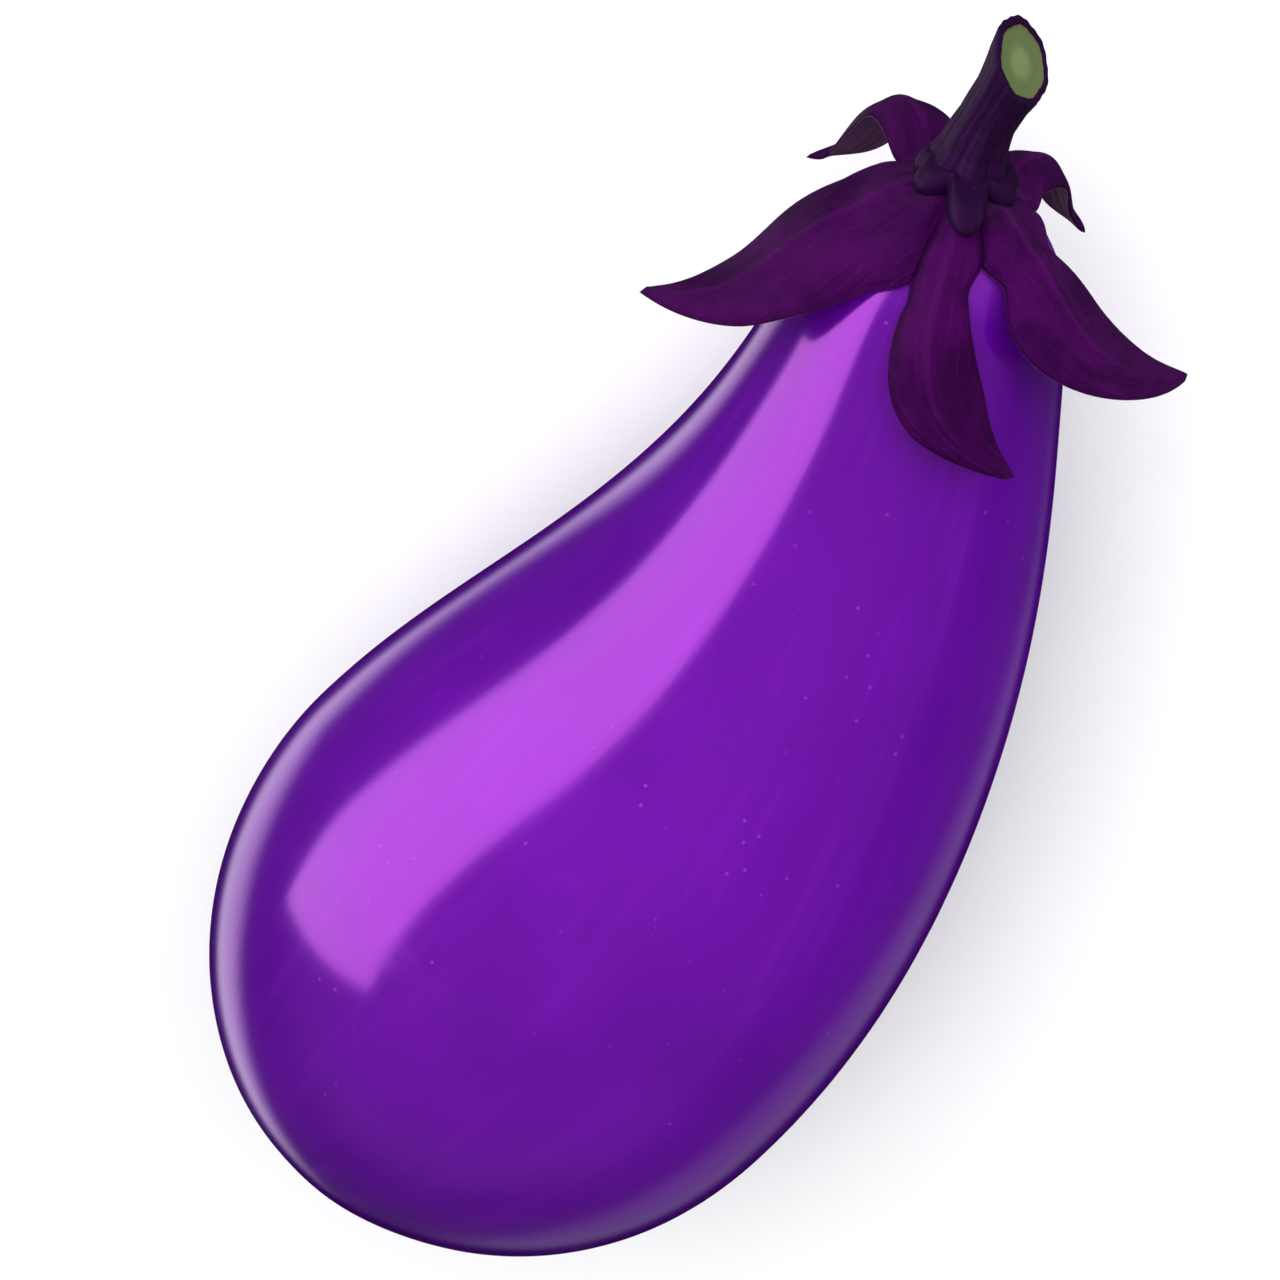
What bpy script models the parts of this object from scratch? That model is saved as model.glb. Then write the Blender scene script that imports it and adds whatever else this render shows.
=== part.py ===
"""An eggplant lying on its side: a smooth pear-shaped fruit, a calyx of five pointed lobes and a cut stem.

Metres, +Z up. The fruit lies along X, stem end towards +X, and its neck bends towards +Y. The origin is on
the surface that it lies on, under the middle of its box. A turn is an angle about the fruit's own axis, from
its top (+Z) towards +Y, and a walk is a distance along the skin from the middle of the stem end.
"""

from math import cos, pi, radians, sin, tau

import bmesh
import bpy
import numpy as np
from mathutils import Vector
from mathutils.geometry import interpolate_bezier

# Fruit
BODY_LENGTH = 0.186
BELLY_RADIUS = 0.0474
BELLY_STATION = 0.0519
NECK_RADIUS = 0.0217
NECK_STATION = 0.162
NECK_TAPER = 0.24
SHOULDER_HANDLE = 0.0155
NECK_HANDLE_UP = 0.0135
NECK_HANDLE_DOWN = 0.0484
BELLY_HANDLE = 0.033
FRUIT_RINGS = 40
FRUIT_SIDES = 52

# How the fruit lies
BLOSSOM_END = (-0.10075, 0.0185, 0.0602)
FIRST_HEADING = radians(-20)
SIDE_BEND = radians(33)
DROOP = radians(14)
NECK_LIFT = radians(22)
BEND_FROM = 0.030
BEND_TO = 0.182

# Calyx
GROWTH_GAP = 0.0003
HOLE_RADIUS = 0.0046
NOTCH = 0.00045
CALYX_THICKNESS = 0.0022
EDGE_THINNING = 0.5
TIP_THINNING = 0.35
COLLAR_ROWS = 5
LOBE_ROWS = 14
LOBE_COLUMNS = 8
SLIT_SHARE = 0.16
TIP_CURL = 0.14
# turn in degrees, walk to the tip, half width, lift of the tip, arch of the middle, turn of the tip in degrees,
# share of the half width at the root, fullness towards the tip
LOBES = (
    (-6, 0.0481, 0.0080, 0.006, 0.001, -36, 0.43, 6),
    (58, 0.0460, 0.0094, 0.0188, 0.0014, 12, 1.3, 2.8),
    (144, 0.0274, 0.0054, 0.0105, 0.0074, -20, 1.1, 4),
    (-149, 0.0256, 0.0041, 0.0075, 0.0044, 14, 1.2, 4),
    (-55.5, 0.0380, 0.0098, 0.0172, 0.001, -39, 0.48, 7),
)
# walk to the notch after each lobe
SINUS_WALKS = (0.0190, 0.0100, 0.0090, 0.0105, 0.0146)

# Stem
STEM_HEIGHT = 0.0222
STEM_SIDES = 48
STEM_LEVELS = 14
STEM_LEAN = radians(22)
LEAN_TURN = radians(63)
STALK_START = 0.0055
STALK_OVERRUN = 1.25
STALK_HEIGHTS = (0.004, 0.007, 0.012, 0.017, 0.022, 0.028)
STALK_RADII = (0.0062, 0.0049, 0.0042, 0.0043, 0.0051, 0.0054)
RIDGE = 0.06
SKIRT_WALK = 0.0060
FIRST_TOE = radians(-13)
TOE_LENGTHS = (0.0062, 0.0022, 0.0006, 0.0006, 0.0010, 0.0012, 0.0018)
# share of the skirt's reach and height over the calyx
SKIRT_RINGS = ((0.55, 0.0), (0.94, 0.0), (1.0, 0.0006), (0.95, 0.0013), (0.72, 0.0022))
CUT_TILT = radians(32)
CUT_TURN = radians(53)

MESH_STEPS = 400
BEZIER_POINTS = 60


def smooth(share):
    """0 before 0, 1 after 1, and an S curve between."""
    share = np.clip(share, 0.0, 1.0)
    return share * share * (3.0 - 2.0 * share)


def lay_axis():
    """Stations along the fruit's bent axis, with the point, heading and pitch at each."""
    station = np.linspace(0.0, BODY_LENGTH, MESH_STEPS)
    bent = smooth((station - BEND_FROM) / (BEND_TO - BEND_FROM))
    heading = FIRST_HEADING + SIDE_BEND * bent
    pitch = NECK_LIFT * bent - DROOP
    along = np.stack([np.cos(pitch) * np.cos(heading), np.cos(pitch) * np.sin(heading), np.sin(pitch)], axis=1)
    steps = (along[1:] + along[:-1]) / 2 * np.diff(station)[:, None]
    point = np.vstack([np.zeros(3), np.cumsum(steps, axis=0)]) + np.array(BLOSSOM_END)
    return station, point, heading, pitch


def draw_profile():
    """The turned profile from the stem end to the blossom end: walk, station and radius of each point."""
    arc = 0.5523
    spans = (
        (
            (BODY_LENGTH, 0.0),
            (BODY_LENGTH, SHOULDER_HANDLE),
            (NECK_STATION + NECK_HANDLE_UP, NECK_RADIUS - NECK_HANDLE_UP * NECK_TAPER),
            (NECK_STATION, NECK_RADIUS),
        ),
        (
            (NECK_STATION, NECK_RADIUS),
            (NECK_STATION - NECK_HANDLE_DOWN, NECK_RADIUS + NECK_HANDLE_DOWN * NECK_TAPER),
            (BELLY_STATION + BELLY_HANDLE, BELLY_RADIUS),
            (BELLY_STATION, BELLY_RADIUS),
        ),
        (
            (BELLY_STATION, BELLY_RADIUS),
            (BELLY_STATION * (1 - arc), BELLY_RADIUS),
            (0.0, BELLY_RADIUS * arc),
            (0.0, 0.0),
        ),
    )
    points = []
    for knot_a, handle_a, handle_b, knot_b in spans:
        curve = interpolate_bezier(knot_a, handle_a, handle_b, knot_b, BEZIER_POINTS)
        points += [(p[0], p[1]) for p in curve[:-1]]
    points = np.array(points + [(0.0, 0.0)])
    walk = np.concatenate([[0.0], np.cumsum(np.linalg.norm(np.diff(points, axis=0), axis=1))])
    return walk, points[:, 0], points[:, 1]


AXIS = lay_axis()
PROFILE = draw_profile()
SKIN_LENGTH = PROFILE[0][-1]


def axis_frame(station):
    """The point on the axis there, with the directions along it, to its left and up."""
    at = [np.interp(station, AXIS[0], AXIS[1][:, k]) for k in range(3)]
    heading = np.interp(station, AXIS[0], AXIS[2])
    pitch = np.interp(station, AXIS[0], AXIS[3])
    along = Vector((cos(pitch) * cos(heading), cos(pitch) * sin(heading), sin(pitch)))
    left = Vector((-sin(heading), cos(heading), 0.0))
    return Vector(at), along, left, along.cross(left)


def profile_at(walk):
    """Station, radius and the outward slope of the skin there, as its share along the axis and its share out."""
    step = SKIN_LENGTH / MESH_STEPS
    near = np.clip(np.array([walk - step, walk, walk + step]), 0.0, SKIN_LENGTH)
    station = np.interp(near, PROFILE[0], PROFILE[1])
    radius = np.interp(near, PROFILE[0], PROFILE[2])
    if near[0] == 0.0:
        radius[0] = -np.interp(step - walk, PROFILE[0], PROFILE[2])
        station[0] = np.interp(step - walk, PROFILE[0], PROFILE[1])
    normal = Vector((radius[2] - radius[0], station[0] - station[2])).normalized()
    return station[1], radius[1], normal.x, normal.y


def skin_point(walk, turn, height=0.0):
    """A point over the fruit's skin, at this height along its normal."""
    station, radius, share_along, share_out = profile_at(walk)
    at, along, left, up = axis_frame(station)
    out = up * cos(turn) + left * sin(turn)
    return at + along * (height * share_along) + out * (radius + height * share_out)


def extrude_row(mesh, row, places, closed):
    """Extrudes a row of vertices to these places and returns the new row."""
    ends = list(zip(row, row[1:] + row[:1])) if closed else list(zip(row, row[1:]))
    edges = [mesh.edges.get(pair) or mesh.edges.new(pair) for pair in ends]
    made = bmesh.ops.extrude_edge_only(mesh, edges=edges)["geom"]
    fresh = {item for item in made if isinstance(item, bmesh.types.BMVert)}
    new_row = []
    for vertex, place in zip(row, places):
        twin = next(e.other_vert(vertex) for e in vertex.link_edges if e.other_vert(vertex) in fresh)
        twin.co = place
        new_row.append(twin)
    return new_row


def close_with_fan(mesh, row, place):
    """Closes a ring of vertices with a fan of triangles round one point."""
    hub = mesh.verts.new(place)
    for a, b in zip(row, row[1:] + row[:1]):
        mesh.faces.new((a, b, hub))


def finish_part(name, mesh, colour, roughness, root):
    """Turns the mesh into a named object with its material, under the eggplant's empty."""
    bmesh.ops.recalc_face_normals(mesh, faces=mesh.faces)
    data = bpy.data.meshes.new(name)
    mesh.to_mesh(data)
    mesh.free()
    data.shade_smooth()
    data.set_sharp_from_angle(angle=radians(50))
    part = bpy.data.objects.new(name, data)
    material = bpy.data.materials.new(name + "_finish")
    material.use_nodes = True
    shader = material.node_tree.nodes["Principled BSDF"]
    shader.inputs["Base Color"].default_value = colour
    shader.inputs["Roughness"].default_value = roughness
    shader.inputs["Metallic"].default_value = 0.0
    data.materials.append(material)
    bpy.context.scene.collection.objects.link(part)
    part.parent = root
    return part


def cut_flat(mesh, place, facing):
    """Cuts off what lies beyond a plane and closes the cut with one flat face."""
    cut = bmesh.ops.bisect_plane(
        mesh,
        geom=mesh.verts[:] + mesh.edges[:] + mesh.faces[:],
        plane_co=place,
        plane_no=facing,
        clear_outer=True,
    )
    rim = [item for item in cut["geom_cut"] if isinstance(item, bmesh.types.BMEdge)]
    bmesh.ops.holes_fill(mesh, edges=rim, sides=len(rim))


def make_fruit(root):
    """The fruit: a ball pulled out to the bent pear shape, flat where its weight rests."""
    mesh = bmesh.new()
    bmesh.ops.create_uvsphere(mesh, u_segments=FRUIT_SIDES, v_segments=FRUIT_RINGS, radius=1.0)
    for vertex in mesh.verts:
        polar = vertex.co.angle(Vector((0.0, 0.0, 1.0)))
        turn = np.arctan2(vertex.co.y, vertex.co.x)
        vertex.co = skin_point(polar / pi * SKIN_LENGTH, turn)
    cut_flat(mesh, Vector((0.0, 0.0, 0.0)), Vector((0.0, 0.0, -1.0)))
    finish_part("fruit", mesh, (0.159, 0.006, 0.381, 1.0), 0.18, root)


def lobe_borders():
    """The turns at which each lobe starts and ends: two neighbours part the space between them by the widths of their roots."""
    starts, ends = [], []
    for k, lobe in enumerate(LOBES):
        before, after = LOBES[k - 1], LOBES[(k + 1) % len(LOBES)]
        turn, root_width = radians(lobe[0]), lobe[2] * lobe[6]
        gap_before = (turn - radians(before[0])) % tau
        gap_after = (radians(after[0]) - turn) % tau
        starts.append(turn - gap_before * root_width / (root_width + before[2] * before[6]))
        ends.append(turn + gap_after * root_width / (root_width + after[2] * after[6]))
    return starts, ends


def root_walk(k, across):
    """How far from the stem a lobe's root is, from the notch before it (across -1) to the one after it (across 1)."""
    return np.interp(across, (-1.0, 1.0), (SINUS_WALKS[k - 1], SINUS_WALKS[k]))


def lobe_row(share, k, start, end):
    """The places of one row across lobe k, on its inner face, between its borders with its neighbours."""
    turn_deg, reach, half_width, lift, arch, tip_turn, root_share, fullness = LOBES[k]
    height = GROWTH_GAP + lift * share**1.8 + arch * sin(pi * share**0.66) ** 2
    opened = smooth(share / SLIT_SHARE)
    turn = radians(turn_deg)
    sweep = radians(tip_turn) * share**3
    spread = half_width * (root_share + (1.0 - root_share) * smooth(share / 0.6)) * (1.0 - share**fullness)
    places = []
    for j in range(LOBE_COLUMNS + 1):
        across = 2.0 * j / LOBE_COLUMNS - 1.0
        root = root_walk(k, across)
        walk = root + (reach - root) * (share - TIP_CURL * share**4)
        station, radius, share_along, share_out = profile_at(walk)
        girth = radius + height * share_out
        sector = (end - turn if across > 0 else turn - start) - NOTCH * opened / girth
        blade = min(spread / girth, sector)
        swing = sector * (1.0 - opened) + blade * opened
        places.append(skin_point(walk, turn + swing * across + sweep, height))
    return places


def make_calyx(root):
    """The calyx: a collar round the stem's foot, parted into five pointed lobes that lift off the fruit."""
    mesh = bmesh.new()
    thin = mesh.verts.layers.deform.verify()
    sides = len(LOBES) * LOBE_COLUMNS
    starts, ends = lobe_borders()
    half = LOBE_COLUMNS // 2
    spread = []
    for k, lobe in enumerate(LOBES):
        turn = radians(lobe[0])
        for j in range(LOBE_COLUMNS):
            across = j / half - 1.0
            border = starts[k] if across < 0 else ends[k]
            spread.append((turn + (border - turn) * abs(across), root_walk(k, across)))
    row = [mesh.verts.new(skin_point(HOLE_RADIUS, turn, GROWTH_GAP)) for turn, root in spread]
    for k in range(1, COLLAR_ROWS + 1):
        share = k / COLLAR_ROWS
        places = [skin_point(HOLE_RADIUS + (root - HOLE_RADIUS) * share, turn, GROWTH_GAP) for turn, root in spread]
        row = extrude_row(mesh, row, places, True)
    for vertex in mesh.verts:
        vertex[thin][0] = 1.0
    for k in range(len(LOBES)):
        first = k * LOBE_COLUMNS
        strand = [row[(first + j) % sides] for j in range(LOBE_COLUMNS + 1)]
        for i in range(1, LOBE_ROWS + 1):
            share = i / LOBE_ROWS
            strand = extrude_row(mesh, strand, lobe_row(share, k, starts[k], ends[k]), False)
            for j, vertex in enumerate(strand):
                across = abs(2.0 * j / LOBE_COLUMNS - 1.0)
                edge = 1.0 - EDGE_THINNING * across**1.5 * smooth(share / SLIT_SHARE)
                vertex[thin][0] = edge * (1.0 - TIP_THINNING * share)
        bmesh.ops.pointmerge(mesh, verts=strand, merge_co=strand[LOBE_COLUMNS // 2].co)
    bmesh.ops.triangulate(mesh, faces=mesh.faces)
    calyx = finish_part("calyx", mesh, (0.055, 0.004, 0.078, 1.0), 0.55, root)
    calyx.vertex_groups.new(name="thickness")
    solid = calyx.modifiers.new("thickness", "SOLIDIFY")
    solid.thickness = CALYX_THICKNESS
    solid.offset = 1.0
    solid.vertex_group = "thickness"


def stem_line(height):
    """The stem's own curved axis: the point at this height over the fruit, with its directions."""
    at, along, left, up = axis_frame(BODY_LENGTH)
    lean = up * cos(LEAN_TURN) - left * sin(LEAN_TURN)
    angle = STEM_LEAN * smooth(height / STEM_HEIGHT)
    place = at + along * height * cos(angle / 2) + lean * height * sin(angle / 2)
    tangent = along * cos(angle) + lean * sin(angle)
    side = up.cross(tangent).normalized()
    return place, tangent, side, tangent.cross(side)


def skirt_reach(turn):
    """How far the skirt reaches from the middle of the stem, with its toes."""
    place = (turn - FIRST_TOE) * len(TOE_LENGTHS) / tau
    length = TOE_LENGTHS[round(place) % len(TOE_LENGTHS)]
    return SKIRT_WALK + length * cos(pi * (place - round(place))) ** 1.2


def make_stem(root):
    """The stem: a foot on the fruit, a skirt of toes on the calyx, a ridged stalk and a slanting cut."""
    mesh = bmesh.new()
    turns = [tau * k / STEM_SIDES for k in range(STEM_SIDES)]
    over_calyx = 2 * GROWTH_GAP + CALYX_THICKNESS
    foot = HOLE_RADIUS - GROWTH_GAP
    row = [mesh.verts.new(skin_point(foot, turn, GROWTH_GAP)) for turn in turns]
    close_with_fan(mesh, row, skin_point(0.0, 0.0, GROWTH_GAP))
    row = extrude_row(mesh, row, [skin_point(foot, turn, over_calyx) for turn in turns], True)
    for share, rise in SKIRT_RINGS:
        places = []
        for turn in turns:
            reach = skirt_reach(turn)
            places.append(skin_point(foot + (reach - foot) * share, turn, over_calyx + rise))
        row = extrude_row(mesh, row, places, True)
    for k in range(STEM_LEVELS + 1):
        height = STALK_START + (STEM_HEIGHT * STALK_OVERRUN - STALK_START) * k / STEM_LEVELS
        at, tangent, side, up = stem_line(height)
        radius = np.interp(height, STALK_HEIGHTS, STALK_RADII)
        fading = 1.0 - 0.6 * height / STEM_HEIGHT
        places = []
        for turn in turns:
            ridge = 1.0 + RIDGE * cos(len(TOE_LENGTHS) * (turn - FIRST_TOE)) * fading
            places.append(at + (up * cos(turn) + side * sin(turn)) * radius * ridge)
        row = extrude_row(mesh, row, places, True)
    close_with_fan(mesh, row, stem_line(STEM_HEIGHT * STALK_OVERRUN)[0])
    at, tangent, side, up = stem_line(STEM_HEIGHT)
    facing = tangent * cos(CUT_TILT) + (up * cos(CUT_TURN) - side * sin(CUT_TURN)) * sin(CUT_TILT)
    cut_flat(mesh, at, facing)
    finish_part("stem", mesh, (0.022, 0.004, 0.037, 1.0), 0.5, root)


def main():
    for thing in list(bpy.data.objects):
        bpy.data.objects.remove(thing)
    root = bpy.data.objects.new("eggplant", None)
    bpy.context.scene.collection.objects.link(root)
    make_fruit(root)
    make_calyx(root)
    make_stem(root)


main()
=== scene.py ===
"""Looks of an eggplant lying on its side: glossy purple skin, a plum calyx of five lobes and a cut stem.

Metres, +Z up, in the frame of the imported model. A turn is an angle about the fruit's own axis, from its top
(+Z) towards +Y. A walk is a distance along the skin from the middle of the stem end. A share runs from 0 at
the start of what it measures to 1 at its end.
"""

from math import cos, pi, radians, sin, tau

import bpy
import numpy as np
from mathutils import Matrix, Vector
from mathutils.geometry import interpolate_bezier


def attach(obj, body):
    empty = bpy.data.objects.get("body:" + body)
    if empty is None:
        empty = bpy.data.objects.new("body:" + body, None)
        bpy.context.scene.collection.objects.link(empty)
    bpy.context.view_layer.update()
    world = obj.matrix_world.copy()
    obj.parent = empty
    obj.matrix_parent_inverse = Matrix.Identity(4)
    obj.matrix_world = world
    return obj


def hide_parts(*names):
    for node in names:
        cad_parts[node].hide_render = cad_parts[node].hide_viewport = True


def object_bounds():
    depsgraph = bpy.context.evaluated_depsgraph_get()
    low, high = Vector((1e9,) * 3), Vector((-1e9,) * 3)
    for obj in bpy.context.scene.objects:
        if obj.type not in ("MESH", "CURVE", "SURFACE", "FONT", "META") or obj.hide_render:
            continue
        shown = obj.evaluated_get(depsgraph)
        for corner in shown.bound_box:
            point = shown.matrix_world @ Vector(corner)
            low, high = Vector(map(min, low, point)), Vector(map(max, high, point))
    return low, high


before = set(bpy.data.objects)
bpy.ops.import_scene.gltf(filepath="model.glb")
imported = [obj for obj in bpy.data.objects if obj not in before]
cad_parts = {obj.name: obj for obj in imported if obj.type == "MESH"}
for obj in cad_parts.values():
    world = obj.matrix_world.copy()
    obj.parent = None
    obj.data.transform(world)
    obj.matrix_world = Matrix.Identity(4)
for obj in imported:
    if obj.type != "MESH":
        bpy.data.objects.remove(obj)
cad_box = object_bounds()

# Fruit: the same driving values as its solid
BODY_LENGTH = 0.186
BELLY_RADIUS = 0.0474
BELLY_STATION = 0.0519
NECK_RADIUS = 0.0217
NECK_STATION = 0.162
NECK_TAPER = 0.24
SHOULDER_HANDLE = 0.0155
NECK_HANDLE_UP = 0.0135
NECK_HANDLE_DOWN = 0.0484
BELLY_HANDLE = 0.033
# share of a radius at which the handles of a quarter round stand
ROUND_HANDLE = 0.5523
BLOSSOM_END = (-0.10075, 0.0185, 0.0602)
FIRST_HEADING = radians(-20)
SIDE_BEND = radians(33)
DROOP = radians(14)
NECK_LIFT = radians(22)
BEND_FROM = 0.030
BEND_TO = 0.182

# Fineness and relief of the fruit
FRUIT_RINGS = 230
# over 1, the rings lie closer together towards the blossom end
RING_CROWDING = 1.3
FRUIT_SIDES = 256
AXIS_STEPS = 2000
CURVE_POINTS = 600
# height, waves round the fruit, waves along it, phase
SWELLS = (
    (0.00020, 2, 1.2, 0.4),
    (0.00011, 3, 2.1, 2.1),
    (0.00005, 5, 3.3, 4.0),
)
SWELL_FADE = 0.030
FLAT_ROUNDING = 0.0005
DIMPLE_DEPTH = 0.0014
DIMPLE_WIDTH = 0.0070
SCAR_RADIUS = 0.0024
SCAR_HEIGHT = 0.0005
# share of the scar's radius, waves round it, phase
SCAR_WOBBLES = ((0.18, 3, 0.5), (0.10, 7, 0.0))
# shares of the scar's radius: where it starts to rise, and over what width it rises
SCAR_FOOT = 1.2
SCAR_SLOPE = 0.5

# Calyx: the same driving values as its solid
GROWTH_GAP = 0.0003
HOLE_RADIUS = 0.0046
NOTCH = 0.00045
CALYX_THICKNESS = 0.0022
EDGE_THINNING = 0.5
TIP_THINNING = 0.35
SLIT_SHARE = 0.16
WIDENED_SHARE = 0.6
TIP_CURL = 0.14
# powers of the share that the curl, lift, arch, sweep and thinning of a lobe grow with
CURL_POWER = 4
LIFT_POWER = 1.8
ARCH_POWER = 0.66
SWEEP_POWER = 3
EDGE_POWER = 1.5
# turn in degrees, walk to the tip, half width, lift of the tip, arch of the middle, turn of the tip in
# degrees, share of the half width at the root, fullness towards the tip
LOBES = (
    (-6, 0.0481, 0.0080, 0.006, 0.001, -36, 0.43, 6),
    (58, 0.0460, 0.0094, 0.0188, 0.0014, 12, 1.3, 2.8),
    (144, 0.0274, 0.0054, 0.0105, 0.0074, -20, 1.1, 4),
    (-149, 0.0256, 0.0041, 0.0075, 0.0044, 14, 1.2, 4),
    (-55.5, 0.0380, 0.0098, 0.0172, 0.001, -39, 0.48, 7),
)
# walk to the notch after each lobe
SINUS_WALKS = (0.0190, 0.0100, 0.0090, 0.0105, 0.0146)

# Fineness and relief of the calyx
COLLAR_ROWS = 30
LOBE_ROWS = 72
LOBE_COLUMNS = 32
# how much closer to the skin the root lies than in the solid, and the share of a lobe over which that fades
SETTLE = 0.0004
SETTLED_SHARE = 0.5
# share of a lobe over which its thickness turns from the skin's normal to its own
FREED_SHARE = 0.35
MIDRIB_HEIGHT = 0.0006
MIDRIB_WIDTH = 0.0011
MIDRIB_BROADENING = 0.6
MIDRIB_BROAD_SHARE = 0.3
MIDRIB_FADE = 0.7
CREASE_DEPTH = 0.0012
CREASE_WIDTH = 0.0007
CREASE_FADE = 0.004
# thickness at the margin and the tip as a share, and the powers that keep the flesh full until close to them
MARGIN_THICKNESS = 0.35
MARGIN_SQUARENESS = 6
TIP_THICKNESS = 0.4
TIP_SQUARENESS = 12
BLADE_CROWN = 0.0009
MARGIN_WAVE = 0.00045
MARGIN_WAVES = 2.3

# Stem: the same driving values as its solid
STEM_HEIGHT = 0.0222
STEM_LEAN = radians(22)
LEAN_TURN = radians(63)
STALK_START = 0.0055
STALK_HEIGHTS = (0.004, 0.007, 0.012, 0.017, 0.022, 0.028)
STALK_RADII = (0.0062, 0.0049, 0.0042, 0.0043, 0.0051, 0.0054)
RIDGE = 0.06
RIDGE_FADING = 0.6
SKIRT_WALK = 0.0060
FIRST_TOE = radians(-13)
TOE_LENGTHS = (0.0062, 0.0022, 0.0006, 0.0006, 0.0010, 0.0012, 0.0018)
TOE_POWER = 1.2
CUT_TILT = radians(32)
CUT_TURN = radians(53)

# Fineness and relief of the stem
STEM_SIDES = 224
STALK_ROWS = 64
FILLET_ROWS = 12
SKIRT_PULL = 0.0022
STALK_PULL = 0.00132
FINE_RIDGE = 0.010
FINE_RIDGES = 21
FINE_TWIST = 60.0
# the bark is sought up to this share of the stem's height, by this many halvings
STALK_OVERRUN = 1.4
CUT_HALVINGS = 30
# share of the skirt's reach and height over the calyx
SKIRT_RINGS = (
    (0.60, -0.0005),
    (0.93, -0.0005),
    (0.985, -0.0001),
    (1.0, 0.0004),
    (0.985, 0.0009),
    (0.94, 0.0013),
    (0.86, 0.0017),
    (0.74, 0.0021),
)
# share of the cut's radius and height over its plane
BARK_RIM_RINGS = (
    (0.985, 0.00020),
    (0.955, 0.00034),
    (0.90, 0.00042),
    (0.84, 0.00038),
    (0.80, 0.00022),
)
FLESH_RINGS = (
    (0.79, 0.00004),
    (0.74, -0.00002),
    (0.62, -0.00010),
    (0.46, -0.00014),
    (0.30, -0.00010),
    (0.14, 0.0),
)

# Finish of the skin: colours, how strongly those laid over the ground show, and the height of its bumps
DEEP_PURPLE = (0.069, 0.0006, 0.203, 1.0)
LIVELY_PURPLE = (0.082, 0.0008, 0.236, 1.0)
BRIGHT_STREAK = (0.104, 0.0026, 0.276, 1.0)
STREAK_STRENGTH = 0.5
PALE_SPECK = (0.260, 0.090, 0.380, 1.0)
SPECK_STRENGTH = 0.28
PALE_SHOULDER = (0.170, 0.022, 0.300, 1.0)
SHOULDER_STRENGTH = 0.35
# walks to the pale shoulder's edge and core, and how far its edge and the scar's wander
SHOULDER_WALKS = (0.0275, 0.0180)
SHOULDER_WANDER = 0.006
SCAR_WANDER = 0.0016
DULL_HALO = (0.050, 0.006, 0.080, 1.0)
HALO_STRENGTH = 0.35
DARK_CORK = (0.070, 0.034, 0.026, 1.0)
PALE_CORK = (0.210, 0.135, 0.085, 1.0)
SKIN_SHEEN = (0.89, 0.18, 1.0, 1.0)
SKIN_BUMP = 0.00004

# Finish of the calyx
PLUM = (0.0320, 0.0008, 0.0450, 1.0)
DARK_PLUM = (0.0180, 0.0006, 0.0265, 1.0)
MARGIN_STRENGTH = 0.55
MOTTLE_STRENGTH = 0.25
VEIN_PLUM = (0.0500, 0.0030, 0.0680, 1.0)
VEIN_STRENGTH = 0.35
GREEN_FLUSH = (0.0360, 0.0200, 0.0300, 1.0)
FLUSH_STRENGTH = 0.30
PALE_LINING = (0.0900, 0.0380, 0.0800, 1.0)
LINING_STRENGTH = 0.8
# edge and core in millimetres: of the vein, from a lobe's middle; of the darker margin, from a lobe's side;
# and of the green flush, from the stem
VEIN_REACH = (0.85, 0.15)
MARGIN_REACH = (1.3, 0.2)
FLUSH_REACH = (12.0, 5.0)
CALYX_SHEEN = (0.8, 0.15, 1.0, 1.0)
CALYX_BUMP = 0.0003

# Finishes of the stem's bark and cut end
BARK = (0.0090, 0.0010, 0.0160, 1.0)
PALE_BARK = (0.0240, 0.0048, 0.0340, 1.0)
BARK_GRAIN_STRENGTH = 0.55
DRY_BARK = (0.0600, 0.0380, 0.0330, 1.0)
DRY_BARK_STRENGTH = 0.35
BARK_SHEEN = (0.8, 0.3, 1.0, 1.0)
BARK_BUMP = 0.00025
FLESH_GREEN = (0.0680, 0.1000, 0.0320, 1.0)
PITH = (0.1020, 0.1440, 0.0520, 1.0)
FIBRE_RING_STRENGTH = 0.55
# shares of the cut's radius: the ring of fibres, its half widths to edge and core, and the edge and core of
# the pith and of the dry border
FIBRE_RING = 0.56
FIBRE_RING_WIDTHS = (0.07, 0.01)
PITH_REACH = (0.48, 0.24)
DRY_REACH = (0.68, 0.82)
DRY_EDGE = (0.0800, 0.0720, 0.0300, 1.0)
DRY_MOTTLE_STRENGTH = 0.3
DRY_EDGE_STRENGTH = 0.6
FLESH_BUMP = 0.00018

# How far each grain is drawn out: less than 1 makes it longer along that direction
ALONG_SKIN = (1.0, 1.0, 0.05)
ALONG_SCUFFS = (1.0, 0.35, 1.0)
ALONG_LEAF = (1.0, 0.07, 0.0)
ALONG_STALK = (1.0, 1.0, 0.07)
ALONG_KNIFE = (1.0, 0.12, 1.0)

# Sockets of a Mix node that mixes colours: factor, first colour, second colour and result
MIX_FACTOR, MIX_FIRST, MIX_SECOND, MIX_RESULT = 0, 6, 7, 2

# Camera and light
LENS = 180.0
SENSOR = 36.0
VIEW_WIDTH = 0.187
VIEW_INCLINE = radians(22)
VIEW_SPIN = radians(27.3)
PICTURE_SIZE = 1280
BOX_MIDDLE_PIXEL = (713.3, 639.8)
# turn and rise of each softbox as seen from the eggplant, its distance, width, height and power
SIDE_SOFTBOX = (radians(84), radians(27), 1.1, 1.36, 1.06, 14.0)
OVERHEAD_FILL = (radians(40), radians(62), 1.5, 3.0, 3.0, 70.0)
STEM_SIDE_FILL = (radians(-34), radians(22), 1.6, 1.6, 1.6, 19.0)
ROOM_WHITE = (0.98, 0.98, 1.0, 1.0)
ROOM_LIGHT = 0.26
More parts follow.
